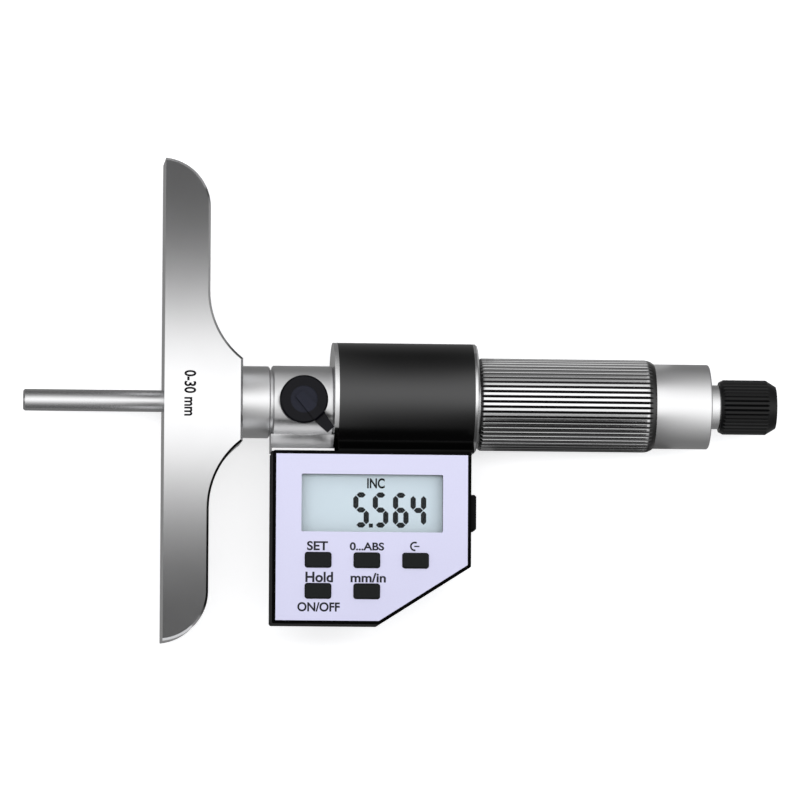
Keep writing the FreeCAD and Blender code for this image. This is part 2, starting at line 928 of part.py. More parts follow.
def adjusting_nut():
    """The ring nut that closes the slit end of the inner sleeve on the spindle's thread."""
    body = turned("adjusting_nut", tube(nut_start, nut_end, outer_sleeve_bore, s.sleeve_radius))
    notch = cut_block(body, box(-s.nut_notch / 2, s.nut_notch / 2, s.inner_sleeve_radius + s.nut_notch,
                                s.sleeve_radius + 1), nut_end - s.nut_length / 2, nut_end + 1, "YZ_Plane")
    ring_pattern(body, notch, 4, "X")
    return body


def front_plate():
    """The bright plate between the clamp body and the encoder cover."""
    body = new_body("front_plate")
    disc(body, (s.cover_rise, 0), s.cover_radius, clamp_end, plate_end, "YZ_Plane")
    cut_disc(body, (0, 0), s.thread_radius + s.seat_gap, clamp_end - 1, plate_end + 1, "YZ_Plane")
    return body


def encoder_cover():
    """The black cover round the encoder, with the pedestal that stands on the display housing."""
    body = new_body("encoder_cover")
    disc(body, (s.cover_rise, 0), s.cover_radius, plate_end, cover_end, "YZ_Plane")
    flare_end = s.pedestal_rise - s.housing_top
    drop = s.cover_rise - flare_end
    barrel_level = root(s.cover_radius * s.cover_radius - drop * drop)
    pedestal = [
        (-s.housing_top, -s.housing_back),
        (-s.housing_top, s.pedestal_front),
        (s.pedestal_lip - s.housing_top, s.pedestal_front),
        (flare_end, barrel_level, s.pedestal_flare),
        (flare_end, -s.housing_back),
    ]
    block(body, pedestal, plate_end, cover_end, "YZ_Plane")
    cut_disc(body, (s.cover_rise, 0), s.cover_radius - s.cover_wall, plate_end - 1, cover_end + 1, "YZ_Plane")
    left, right, low, high = ribbon_hole(s.ribbon_slot)
    cut_block(body, box(left - s.ribbon_thickness, right, -s.housing_top - 1, -s.rotor_radius), low, high)
    return body


def cover_end_ring():
    """The bright ring that closes the cover and centres it on the sleeve."""
    body = new_body("cover_end_ring")
    disc(body, (s.cover_rise, 0), s.cover_radius, cover_end, ring_end, "YZ_Plane")
    spigot_start = cover_end - s.ring_spigot
    spigot_radius = s.cover_radius - s.cover_wall - s.seat_gap
    disc(body, (s.cover_rise, 0), spigot_radius, spigot_start, cover_end, "YZ_Plane")
    cut_disc(body, (0, 0), s.sleeve_radius + s.seat_gap, spigot_start - 1, ring_end + 1, "YZ_Plane")
    dress(body, "Chamfer", s.ring_bevel,
          lambda edge: at_level(edge, ring_end, "x") and edge.Length > 6.2 * s.cover_radius.value)
    return body


# ---- spindle, rod and thimble --------------------------------------------------------------------


def spindle():
    """The hollow measuring spindle: a ground barrel with its keyway, a shoulder and the thimble's journal."""
    body = turned("spindle", [
        (s.spindle_inset, rod_bore),
        (spindle_end, rod_bore),
        (spindle_end, s.journal_radius),
        (web_start, s.journal_radius),
        (web_start, s.shoulder_radius),
        (shoulder_start, s.shoulder_radius),
        (shoulder_start, s.spindle_radius),
        (s.spindle_inset, s.spindle_radius),
    ])
    half_slot = s.key_width / 2 + s.running_gap
    cut_block(body, box(s.spindle_inset - 1, key_end + s.end_play, s.spindle_radius - s.key_depth,
                        s.spindle_radius + 1), -half_slot, half_slot)
    return body


def measuring_rod():
    return turned("measuring_rod", [
        (-s.rod_reach, 0),
        (rod_end, 0),
        (rod_end, s.rod_nut_radius),
        (rod_nut_end, s.rod_nut_radius),
        (rod_nut_end, s.rod_radius),
        (s.rod_tip_bevel - s.rod_reach, s.rod_radius),
        (-s.rod_reach, s.rod_radius - s.rod_tip_bevel),
    ])


def rod_nut():
    return turned("rod_nut", tube(spindle_end, rod_nut_end, s.rod_radius + s.seat_gap, s.rod_nut_radius))


def rod_washer():
    return turned("rod_washer", tube(rod_end, cap_cavity_end, s.rod_radius, s.rod_nut_radius))


def flutes(body, count, radius, depth, width, start, end):
    """Straight V flutes, milled the whole length of a turned form, so that they run out at its rounded ends."""
    sketch = new_sketch(body, "YZ_Plane", start)
    draw(sketch, [(0, radius - depth), (width, radius + depth), (-width, radius + depth)])
    flute = pocket(body, sketch, end - start)
    ring_pattern(body, flute, count, "X")


def rounding(length, drop):
    """The radius of an arc that leaves a straight side smoothly and falls by drop over a length."""
    return (length * length + drop * drop) / (drop * 2)


def thimble():
    """The fluted thimble, open over the sleeve, with the web that seats on the spindle's shoulder."""
    body = turned("thimble", [
        (thimble_start, thimble_bore),
        (web_start, thimble_bore),
        (web_start, s.journal_radius + s.seat_gap),
        (thimble_end, s.journal_radius + s.seat_gap),
        (thimble_end, s.thimble_radius - s.shoulder_drop),
        (thimble_end - s.shoulder_length, s.thimble_radius, rounding(s.shoulder_length, s.shoulder_drop)),
        (thimble_start + s.thimble_lead, s.thimble_radius),
        (thimble_start, s.thimble_radius - s.thimble_lead_drop, rounding(s.thimble_lead, s.thimble_lead_drop)),
    ])
    flutes(body, FLUTES, s.thimble_radius, s.flute_depth, s.flute_width, thimble_start, thimble_end)
    return body


def thimble_cap():
    bore = s.journal_radius + s.seat_gap
    return turned("thimble_cap", [
        (thimble_end, bore),
        (cap_cavity_end, bore),
        (cap_cavity_end, s.ratchet_stub_radius + s.seat_gap),
        (cap_end, s.ratchet_stub_radius + s.seat_gap),
        (cap_end, s.cap_radius - s.cap_bevel),
        (cap_end - s.cap_bevel, s.cap_radius, s.cap_bevel),
        (thimble_end, s.cap_radius),
    ])


# ---- ratchet -------------------------------------------------------------------------------------


def ratchet_shaft():
    screw_floor = shaft_end - s.knob_screw_length
    return turned("ratchet_shaft", [
        (cap_cavity_end + s.end_play, 0),
        (screw_floor, 0),
        (screw_floor, s.knob_screw_radius + s.seat_gap),
        (shaft_end, s.knob_screw_radius + s.seat_gap),
        (shaft_end, s.ratchet_journal_radius),
        (ratchet_collar_end, s.ratchet_journal_radius),
        (ratchet_collar_end, s.ratchet_collar_radius),
        (neck_end, s.ratchet_collar_radius),
        (neck_end, s.neck_radius),
        (cap_end, s.neck_radius),
        (cap_end, s.ratchet_stub_radius),
        (cap_cavity_end + s.end_play, s.ratchet_stub_radius),
    ])


def notches(body, mouth, floor, radius):
    """Radial V notches across a ring's end face, each cut right across and repeated."""
    half_width = (mouth - floor) * (1 if mouth.value > floor.value else -1)
    sketch = new_sketch(body, "XZ_Plane", -radius - 1)
    draw(sketch, [(floor, 0), (mouth, half_width), (mouth, -half_width)])
    notch = pocket(body, sketch, radius * 2 + 2)
    ring_pattern(body, notch, RATCHET_TEETH // 2, "X", 180 - 360 / RATCHET_TEETH)


def ratchet_wheel():
    bore = s.ratchet_journal_radius + s.seat_gap
    body = turned("ratchet_wheel", tube(ratchet_collar_end, wheel_end, bore, s.ratchet_wheel_radius))
    notches(body, wheel_end, wheel_end - s.ratchet_tooth, s.ratchet_wheel_radius)
    return body


def pawl_ring():
    bore = s.ratchet_journal_radius + s.running_gap
    body = turned("pawl_ring", tube(pawl_start, pawl_end, bore, s.knob_bore - s.seat_gap))
    notches(body, pawl_start, pawl_start + s.ratchet_tooth, s.knob_bore)
    return body


def ratchet_spring():
    """The spring that presses the pawl ring on the wheel, wound close."""
    return turned("ratchet_spring", tube(pawl_end, knob_cavity_end, s.spring_bore, s.spring_radius))


def ratchet_knob():
    """The fluted ratchet knob, recessed at its end for the retaining screw."""
    bore = s.ratchet_journal_radius + s.running_gap
    body = turned("ratchet_knob", [
        (knob_start, s.knob_bore),
        (knob_cavity_end, s.knob_bore),
        (knob_cavity_end, bore),
        (knob_recess_start, bore),
        (knob_recess_start, s.knob_recess_radius),
        (knob_end, s.knob_recess_radius),
        (knob_end, s.knob_radius - s.knob_tail_drop),
        (knob_end - s.knob_tail_length, s.knob_radius),
        (knob_start + s.knob_lead, s.knob_radius),
        (knob_start, s.knob_radius - s.knob_lead / 2),
    ])
    flutes(body, KNOB_FLUTES, s.knob_radius, s.knob_flute_depth, s.knob_flute_width, knob_start, knob_end)
    return body


def knob_screw():
    """The slotted screw that keeps the knob on its shaft."""
    body = turned("knob_screw", [
        (shaft_end - s.knob_screw_length + s.end_play, 0),
        (screw_head_end, 0),
        (screw_head_end, s.knob_screw_head_radius),
        (shaft_end, s.knob_screw_head_radius),
        (shaft_end, s.knob_screw_radius),
        (shaft_end - s.knob_screw_length + s.end_play, s.knob_screw_radius),
    ])
    half_slot = s.knob_screw_slot / 2
    reach = s.knob_screw_head_radius + 1
    slot = box(screw_head_end - s.knob_screw_slot, screw_head_end + 1, -half_slot, half_slot)
    cut_block(body, slot, -reach, reach)
    return body


# ---- display housing -----------------------------------------------------------------------------


def display_outline(inset):
    """The housing's outline with its cut lower corner, moved inwards by inset."""
    inset = sized(inset)
    run = s.housing_right - s.cut_bottom
    rise = s.housing_bottom - s.cut_right
    slant = root(run * run + rise * rise)
    return [
        (s.housing_left + inset, inset - s.housing_bottom),
        (s.cut_bottom - inset * (slant - run) / rise, inset - s.housing_bottom),
        (s.housing_right - inset, inset * (slant - rise) / run - s.cut_right),
        (s.housing_right - inset, -s.housing_top - inset),
        (s.housing_left + inset, -s.housing_top - inset),
    ]


def window_outline(margin):
    margin = sized(margin)
    return rounded_box(s.window_left - margin, s.window_right + margin, -s.window_bottom - margin,
                       margin - s.window_top, s.window_corner)


def port_outline(inset):
    inset = sized(inset)
    return rounded_box(inset - s.port_bottom, -s.port_top - inset, s.port_back + inset, s.port_front - inset,
                       s.button_corner)


def cut_buttons(body, low, high):
    """The holes that the buttons come through."""
    half_width = s.button_width / 2 + s.button_gap
    half_height = s.button_height / 2 + s.button_gap
    for across, down in button_places:
        hole = rounded_box(across - half_width, across + half_width, -down - half_height, half_height - down,
                           s.button_corner + s.button_gap)
        cut_block(body, hole, low, high)


def bore_down(body, across, level, radius, start, end):
    """A round hole along -Y between two distances below the spindle's axis."""
    sketch = new_sketch(body, "XZ_Plane", start)
    draw_circle(sketch, (across, level), radius)
    pocket(body, sketch, end - start)


def upright_edges(edge):
    return edge.BoundBox.ZLength > 1 and edge.BoundBox.XLength < 1e-6 and edge.BoundBox.YLength < 1e-6


def housing_front():
    """The front shell of the display housing, with its screw posts, window, button holes and port."""
    body = new_body("housing_front")
    block(body, display_outline(0), s.housing_parting, s.housing_front)
    dress(body, "Fillet", s.corner_radius, upright_edges)
    cut_block(body, display_outline(s.housing_wall), s.housing_parting - 1, wall_inside)
    cut_block(body, display_outline(s.panel_margin), s.housing_front - s.panel_thickness, s.housing_front + 1)
    for centre in post_places:
        disc(body, centre, s.post_radius, s.board_front, wall_inside + s.front_wall / 2)
    cut_block(body, window_outline(0), wall_inside - 1, s.housing_front)
    cut_buttons(body, wall_inside - 1, s.housing_front)
    for centre in post_places:
        cut_disc(body, centre, s.screw_radius + s.seat_gap, s.board_front - 1, s.board_front + s.screw_bite)
    inside = s.housing_right - s.housing_wall
    cut_block(body, port_outline(s.port_plug_inset), inside - 1, s.housing_right + 1, "YZ_Plane")
    left, right, low, high = ribbon_hole(s.ribbon_slot)
    cut_block(body, box(left - s.ribbon_thickness, right, -s.housing_top - s.housing_wall - 1,
                        1 - s.housing_top), low, high)
    for across in foot_screw_places:
        bore_down(body, across, s.foot_screw_level, s.foot_screw_radius + s.seat_gap, s.housing_top - 1,
                  s.housing_top + s.housing_wall + 1)
    return body


def housing_back():
    """The back shell: a tray with a lip inside the front shell, screw posts and the cell's well."""
    body = new_body("housing_back")
    floor = s.back_wall - s.housing_back
    lip_outside = s.housing_wall + s.lip_gap
    block(body, display_outline(0), -s.housing_back, s.housing_parting)
    dress(body, "Fillet", s.corner_radius, upright_edges)
    block(body, display_outline(lip_outside), floor, s.housing_parting + s.lip_height)
    lip_inside = lip_outside + s.lip_thickness
    cut_block(body, display_outline(lip_inside), floor, s.housing_parting + s.lip_height + 1)
    disc(body, cell_centre, s.cell_radius + s.cell_gap + s.cell_ring_wall, -s.housing_back, cell_top)
    for centre in post_places:
        disc(body, centre, s.post_radius, -s.housing_back, board_back)
    cut_disc(body, cell_centre, s.cell_radius + s.cell_gap, -s.housing_back - 1, cell_top + 1)
    cut_disc(body, cell_centre, s.battery_cap_radius + s.lip_gap, -s.housing_back - 1, cap_inside)
    for centre in post_places:
        cut_disc(body, centre, s.screw_radius + s.lip_gap, -s.housing_back - 1, board_back + 1)
        cut_disc(body, centre, s.screw_head_radius + s.lip_gap, -s.housing_back - 1,
                 s.screw_head_length - s.housing_back)
    return body


def face_panel():
    """The pale front panel with the openings for the display and the buttons."""
    body = new_body("face_panel")
    back = s.housing_front - s.panel_thickness
    block(body, display_outline(s.panel_margin + s.seat_gap), back, s.housing_front)
    cut_block(body, window_outline(0), back - 1, s.housing_front + 1)
    cut_buttons(body, back - 1, s.housing_front + 1)
    return body


def display_window():
    body = new_body("display_window")
    block(body, window_outline(s.pane_margin), pane_back, wall_inside)
    return body


def display_module():
    body = new_body("display_module")
    block(body, window_outline(s.pane_margin), display_back, display_front)
    return body


def contact_strip(label, middle):
    """One rubber connector between the board and an edge of the display."""
    body = new_body(label)
    half_width = s.strip_width / 2
    block(body, box(s.window_left, s.window_right, -middle - half_width, half_width - middle), s.board_front,
          display_back)
    return body


def circuit_board():
    body = new_body("circuit_board")
    block(body, display_outline(s.housing_wall + s.board_gap), board_back, s.board_front)
    for centre in post_places:
        cut_disc(body, centre, s.screw_radius + s.lip_gap, board_back - 1, s.board_front + 1)
    return body


def keypad_mat():
    """The rubber mat with one dome under each button."""
    body = new_body("keypad_mat")
    side = s.button_width / 2 + s.keypad_margin
    end = s.button_height / 2 + s.keypad_margin
    left = s.button_left - side
    middle = -(s.button_upper_row + s.button_lower_row) / 2
    upper_right = s.button_left + s.button_pitch * 2 + side
    lower_right = s.button_left + s.button_pitch + side
    sheet_top = s.board_front + s.keypad_sheet
    block(body, [
        (left, -s.button_lower_row - end),
        (lower_right, -s.button_lower_row - end),
        (lower_right, middle),
        (upper_right, middle),
        (upper_right, end - s.button_upper_row),
        (left, end - s.button_upper_row),
    ], s.board_front, sheet_top)
    for across, down in button_places:
        disc(body, (across, -down), s.dome_radius, sheet_top, dome_top)
    return body


def button(label, across, down):
    """One button: a cap that stands proud of the panel, and the flange that keeps it in the shell."""
    body = new_body(label, (across, -down, 0))
    half_width = s.button_width / 2
    half_height = s.button_height / 2
    outline = rounded_box(-half_width, half_width, -half_height, half_height, s.button_corner)
    block(body, outline, dome_top + s.button_travel + s.end_play, s.housing_front + s.button_stand)
    side = half_width + s.button_flange
    end = half_height + s.button_flange
    flange_top = wall_inside - s.lip_gap
    block(body, rounded_box(-side, side, -end, end, s.button_corner), flange_top - s.button_flange_thickness,
          flange_top)
    top = s.housing_front + s.button_stand
    dress(body, "Chamfer", s.button_bevel, lambda edge: at_level(edge, top))
    return body


def coin_cell():
    """A coin cell: the wide can and the narrower top."""
    rim = cell_top - s.cell_step
    return turned("coin_cell", [
        (cell_back, 0),
        (cell_top, 0),
        (cell_top, s.cell_radius - s.cell_step * 2),
        (rim, s.cell_radius - s.cell_step * 2),
        (rim, s.cell_radius),
        (cell_back, s.cell_radius),
    ], "Z", (s.cell_across, -s.cell_down, 0))


def battery_cap():
    """The round battery cap with its coin slot."""
    section = core(-s.housing_back, cap_inside, s.battery_cap_radius)
    body = turned("battery_cap", section, "Z", (s.cell_across, -s.cell_down, 0))
    half_length = s.coin_slot_length / 2
    half_width = s.coin_slot_width / 2
    slot = rounded_box(-half_length, half_length, -half_width, half_width, half_width - s.lip_gap)
    cut_block(body, slot, -s.housing_back - 1, s.coin_slot_depth - s.housing_back)
    return body


def battery_contact():
    """The bent leaf that leads from the board to the coin cell's top."""
    body = new_body("battery_contact", (s.cell_across, -s.cell_down, 0))
    leaf = s.contact_thickness
    reach = s.contact_width
    sketch = new_sketch(body, "XZ_Plane", -s.contact_width / 2)
    draw(sketch, [
        (-reach, board_back),
        (-reach, board_back - leaf),
        (0, board_back - leaf),
        (reach, cell_top),
        (reach * 2, cell_top),
        (reach * 2, cell_top + leaf),
        (reach + leaf / 2, cell_top + leaf),
        (leaf, board_back),
    ])
    pad(body, sketch, s.contact_width)
    return body


def data_connector():
    """The contact block behind the data port."""
    body = new_body("data_connector")
    right = s.housing_right - s.housing_wall - s.board_gap
    block(body, box(right - s.connector_length, right, s.port_plug_inset - s.port_bottom,
                    -s.port_top - s.port_plug_inset), s.board_front, s.port_front - s.port_plug_inset)
    return body


def port_cover():
    """The rubber cover on the data port: a bevelled flange and the plug behind it."""
    body = new_body("port_cover")
    outside = s.housing_right + s.port_cover_thickness
    block(body, port_outline(0), s.housing_right, outside, "YZ_Plane")
    plug = port_outline(s.port_plug_inset + s.port_plug_gap)
    block(body, plug, s.housing_right - s.port_plug_reach, s.housing_right, "YZ_Plane")
    dress(body, "Chamfer", s.port_cover_bevel, lambda edge: at_level(edge, outside, "x"))
    return body


# ---- screws --------------------------------------------------------------------------------------


def screw_form(label, radius, head, length, axis):
    """A cross-head screw whose head (radius, length) ends at its own origin, with its shank along +axis."""
    head_radius, head_length = head
    body = turned(label, [
        (-head_length, 0),
        (length, 0),
        (length, radius),
        (0, radius),
        (0, head_radius),
        (-head_length, head_radius),
    ], axis)
    cross = {
        "Z": ("XY_Plane", -head_length - 1, s.cross_depth - head_length),
        "Y": ("XZ_Plane", head_length - s.cross_depth, head_length + 1),
    }
    role, low, high = cross[axis]
    half_width, half_length = s.cross_width / 2, s.cross_length / 2
    for across, along in ((half_width, half_length), (half_length, half_width)):
        cut_block(body, box(-across, across, -along, along), low, high, role)
    return body


def housing_screws():
    """The four screws from the back that hold both shells and the board."""
    seat = s.screw_head_length - s.housing_back
    length = s.board_front + s.screw_bite - s.end_play - seat
    head = (s.screw_head_radius, s.screw_head_length)
    form = screw_form("housing_screw_form", s.screw_radius, head, length, "Z")
    return copies("housing_screws", form, [(across, up, seat) for across, up in post_places])


def foot_screws():
    """The two screws that hold the front shell to the clamp body's foot."""
    length = s.foot_screw_bite + s.housing_wall - s.end_play
    head = (s.foot_screw_head_radius, s.foot_screw_head_length)
    form = screw_form("foot_screw_form", s.foot_screw_radius, head, length, "Y")
    seat = -s.housing_top - s.housing_wall
    return copies("foot_screws", form, [(across, seat, s.foot_screw_level) for across in foot_screw_places])


# ---- places in the lock and the housing ----------------------------------------------------------

lock_washer_top = s.lock_flat + s.lock_washer_thickness
lever_start = lock_washer_top + s.end_play
lever_top = lever_start + s.lever_thickness
shoe_start = s.quill_radius + s.running_gap
shoe_end = shoe_start + s.lock_shoe_length
stud_start = shoe_end + s.end_play / 2
lever_bore_end = lever_start + s.lever_bore_depth
stud_end = lever_bore_end - s.end_play / 2

wheel_end = ratchet_collar_end + s.ratchet_wheel_length + s.ratchet_tooth
pawl_start = wheel_end + s.end_play / 2
pawl_end = pawl_start + s.pawl_length + s.ratchet_tooth
shaft_end = knob_recess_start + s.end_play
screw_head_end = shaft_end + s.knob_screw_head_length

wall_inside = s.housing_front - s.panel_thickness - s.front_wall
pane_back = wall_inside - s.pane_thickness
display_front = pane_back - s.display_gap
display_back = display_front - s.display_thickness
board_back = s.board_front - s.board_thickness
dome_top = s.board_front + s.keypad_sheet + s.keypad_dome
cap_inside = s.battery_cap_thickness - s.housing_back
cell_back = cap_inside + s.end_play / 2
cell_top = cell_back + s.cell_thickness
cell_centre = (s.cell_across, -s.cell_down)
post_edge = s.housing_wall + s.post_inset
post_places = [
    (s.housing_left + post_edge, -s.housing_top - post_edge),
    (s.housing_right - post_edge, -s.housing_top - post_edge),
    (s.housing_right - post_edge, s.post_lift - s.cut_right),
    (s.housing_left + post_edge, post_edge - s.housing_bottom),
]
button_columns = [s.button_left + s.button_pitch * column for column in range(3)]
button_places = [(across, s.button_upper_row) for across in button_columns]
button_places += [(across, s.button_lower_row) for across in button_columns[:2]]
foot_screw_places = [clamp_start + s.foot_screw_first, clamp_start + s.foot_screw_first + s.foot_screw_pitch]

# ---- the whole instrument ------------------------------------------------------------------------

BUTTON_NAMES = ["button_set", "button_abs", "button_send", "button_hold", "button_unit"]

pieces = [
    measuring_base(), stem_collar(), clamp_body(), lock_washer(), lock_shoe(), lock_stud(), lock_lever(),
    quill(), drive_key(), encoder_rotor(), encoder_stator(), stator_holder(),
    encoder_ribbon(), ribbon_socket(),
    inner_sleeve(), outer_sleeve(), adjusting_nut(), front_plate(), encoder_cover(), cover_end_ring(),
    spindle(), measuring_rod(), rod_nut(), rod_washer(), thimble(), thimble_cap(),
    ratchet_shaft(), ratchet_wheel(), pawl_ring(), ratchet_spring(), ratchet_knob(), knob_screw(),
    housing_front(), housing_back(), face_panel(), display_window(), display_module(),
    contact_strip("contact_strip_upper", s.window_top + s.strip_width / 2),
    contact_strip("contact_strip_lower", s.window_bottom - s.strip_width / 2),
    circuit_board(), keypad_mat(), coin_cell(), battery_cap(), battery_contact(),
    data_connector(), port_cover(), housing_screws(), foot_screws(),
]
pieces += [button(name, *place) for name, place in zip(BUTTON_NAMES, button_places)]

document.recompute()
for thing in document.Objects:
    if "Invalid" in thing.State or "Error" in thing.State:
        raise RuntimeError(f"{thing.Label} failed: {thing.State}")

os.makedirs("parts", exist_ok=True)
for piece in pieces:
    if piece.Shape.isNull() or not piece.Shape.isValid() or not piece.Shape.Solids:
        raise RuntimeError(f"{piece.Label} has no valid solid")
    piece.Shape.exportStep(f"parts/{piece.Label}.step")
print(len(pieces), "pieces written")
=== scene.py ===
import json
import math

import bpy
from mathutils import Matrix, Vector


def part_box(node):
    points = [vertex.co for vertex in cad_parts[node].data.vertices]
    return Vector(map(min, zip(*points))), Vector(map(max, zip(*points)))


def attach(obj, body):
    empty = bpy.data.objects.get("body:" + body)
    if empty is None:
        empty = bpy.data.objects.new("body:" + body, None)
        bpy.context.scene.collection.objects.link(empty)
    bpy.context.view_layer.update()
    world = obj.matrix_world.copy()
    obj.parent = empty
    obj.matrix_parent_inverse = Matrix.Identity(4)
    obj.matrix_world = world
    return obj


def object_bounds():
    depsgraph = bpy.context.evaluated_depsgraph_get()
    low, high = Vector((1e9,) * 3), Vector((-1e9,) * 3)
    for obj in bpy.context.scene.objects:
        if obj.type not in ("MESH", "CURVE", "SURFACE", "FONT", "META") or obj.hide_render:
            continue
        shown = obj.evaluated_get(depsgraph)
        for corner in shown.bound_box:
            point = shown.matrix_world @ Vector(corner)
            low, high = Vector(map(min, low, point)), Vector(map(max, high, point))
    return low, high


MM = 0.001

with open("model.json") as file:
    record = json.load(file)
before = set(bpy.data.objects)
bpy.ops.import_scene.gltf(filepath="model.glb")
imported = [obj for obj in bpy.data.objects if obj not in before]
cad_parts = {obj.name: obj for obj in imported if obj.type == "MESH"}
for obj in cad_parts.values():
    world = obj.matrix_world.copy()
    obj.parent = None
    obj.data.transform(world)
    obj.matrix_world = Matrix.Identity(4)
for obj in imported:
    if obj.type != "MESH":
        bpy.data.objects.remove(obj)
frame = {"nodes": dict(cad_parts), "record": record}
cad_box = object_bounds()


# ---- materials ---------------------------------------------------------------------------------------------


def linear(red, green, blue):
    """A linear colour from the 0-255 values that it has on a screen."""
    values = []
    for value in (red, green, blue):
        value = value / 255
        values.append(value / 12.92 if value <= 0.04045 else ((value + 0.055) / 1.055) ** 2.4)
    return (*values, 1.0)


def shader(name, color, roughness, metallic=0.0, specular=0.5, coat=0.0, coat_roughness=0.1):
    """A material with one Principled shader whose plain values sit on its own sockets."""
    material = bpy.data.materials.new(name)
    material.use_nodes = True
    surface = material.node_tree.nodes["Principled BSDF"]
    surface.inputs["Base Color"].default_value = color
    surface.inputs["Roughness"].default_value = roughness
    surface.inputs["Metallic"].default_value = metallic
    surface.inputs["Specular IOR Level"].default_value = specular
    surface.inputs["Coat Weight"].default_value = coat
    surface.inputs["Coat Roughness"].default_value = coat_roughness
    return material


def place_texture(material, stretch):
    """Object coordinates in millimetres, stretched along an axis."""
    nodes, links = material.node_tree.nodes, material.node_tree.links
    coordinates = nodes.new("ShaderNodeTexCoord")
    mapping = nodes.new("ShaderNodeMapping")
    mapping.inputs["Scale"].default_value = [factor / MM for factor in stretch]
    links.new(coordinates.outputs["Object"], mapping.inputs["Vector"])
    return mapping.outputs["Vector"]


def noise(material, stretch, detail=2.0):
    nodes, links = material.node_tree.nodes, material.node_tree.links
    texture = nodes.new("ShaderNodeTexNoise")
    texture.inputs["Scale"].default_value = 1.0
    texture.inputs["Detail"].default_value = detail
    links.new(place_texture(material, stretch), texture.inputs["Vector"])
    return texture.outputs["Fac"]


def vary(material, socket, value, low, high):
    """Lets a texture value move a shader's number between two limits."""
    nodes, links = material.node_tree.nodes, material.node_tree.links
    limits = nodes.new("ShaderNodeMapRange")
    limits.inputs["To Min"].default_value = low
    limits.inputs["To Max"].default_value = high
    links.new(value, limits.inputs["Value"])
    links.new(limits.outputs["Result"], nodes["Principled BSDF"].inputs[socket])


def tint(material, value, first, second):
    """Lets a texture value mix two base colours."""
    nodes, links = material.node_tree.nodes, material.node_tree.links
    ramp = nodes.new("ShaderNodeValToRGB")
    ramp.color_ramp.elements[0].color = first
    ramp.color_ramp.elements[1].color = second
    ramp.color_ramp.elements[0].position = 0.3
    ramp.color_ramp.elements[1].position = 0.7
    links.new(value, ramp.inputs["Fac"])
    links.new(ramp.outputs["Color"], nodes["Principled BSDF"].inputs["Base Color"])


def bump(material, value, strength, depth_mm):
    nodes, links = material.node_tree.nodes, material.node_tree.links
    relief = nodes.new("ShaderNodeBump")
    relief.inputs["Strength"].default_value = strength
    relief.inputs["Distance"].default_value = depth_mm * MM
    links.new(value, relief.inputs["Height"])
    links.new(relief.outputs["Normal"], nodes["Principled BSDF"].inputs["Normal"])


def grey(level):
    return (level, level, level * 1.01, 1.0)


def metal(name, level, roughness, stretch, relief=0.012):
    """Plated or ground metal: fine marks that run across the stretched axis, and a slightly uneven gloss."""
    material = shader(name, grey(level), roughness, metallic=1.0)
    marks = noise(material, stretch, detail=3.0)
    vary(material, "Roughness", noise(material, (0.12, 0.12, 0.12)), roughness - 0.03, roughness + 0.03)
    tint(material, noise(material, (0.05, 0.05, 0.05)), grey(level * 0.97), grey(level * 1.03))
    bump(material, marks, 0.35, relief)
    return material


def own_coordinates(nodes, links):
    """The X, Y and Z of an object's own coordinates, in metres."""
    coordinates = nodes.new("ShaderNodeTexCoord")
    split = nodes.new("ShaderNodeSeparateXYZ")
    links.new(coordinates.outputs["Object"], split.inputs["Vector"])
    return split.outputs


def height_along(material, axis):
    """One of a material's own object coordinates."""
    return own_coordinates(material.node_tree.nodes, material.node_tree.links)[axis]


def radius_from_axis(material, middle=(0.0, 0.0), axes=("Y", "Z")):
    """The distance from a line that runs along the third axis, for a material's own object."""
    nodes, links = material.node_tree.nodes, material.node_tree.links
    own = own_coordinates(nodes, links)
    join = nodes.new("ShaderNodeCombineXYZ")
    for axis, start, target in zip(axes, middle, ("X", "Y")):
        shift = nodes.new("ShaderNodeMath")
        shift.operation = "SUBTRACT"
        shift.inputs[1].default_value = start
        links.new(own[axis], shift.inputs[0])
        links.new(shift.outputs["Value"], join.inputs[target])
    length = nodes.new("ShaderNodeVectorMath")
    length.operation = "LENGTH"
    links.new(join.outputs["Vector"], length.inputs[0])
    return length.outputs["Value"]


def two_tone(material, value, low, high, under, over):
    """One colour where a value is under a low limit and another where it is over a high one."""
    nodes, links = material.node_tree.nodes, material.node_tree.links
    limits = nodes.new("ShaderNodeMapRange")
    limits.inputs["From Min"].default_value = low
    limits.inputs["From Max"].default_value = high
    links.new(value, limits.inputs["Value"])
    mix = nodes.new("ShaderNodeMix")
    mix.data_type = "RGBA"
    mix.inputs["A"].default_value = under
    mix.inputs["B"].default_value = over
    links.new(limits.outputs["Result"], mix.inputs["Factor"])
    links.new(mix.outputs["Result"], nodes["Principled BSDF"].inputs["Base Color"])


def plastic(name, color, roughness, grain=0.02, specular=0.4, fleck=0.06):
    """A moulding with a fine matt grain."""
    material = shader(name, color, roughness, specular=specular)
    darker = tuple(part * (1 - fleck) for part in color[:3]) + (1.0,)
    lighter = tuple(min(1.0, part * (1 + fleck)) for part in color[:3]) + (1.0,)
    tint(material, noise(material, (3, 3, 3)), darker, lighter)
    bump(material, noise(material, (9, 9, 9), detail=3.0), 0.4, grain)
    return material


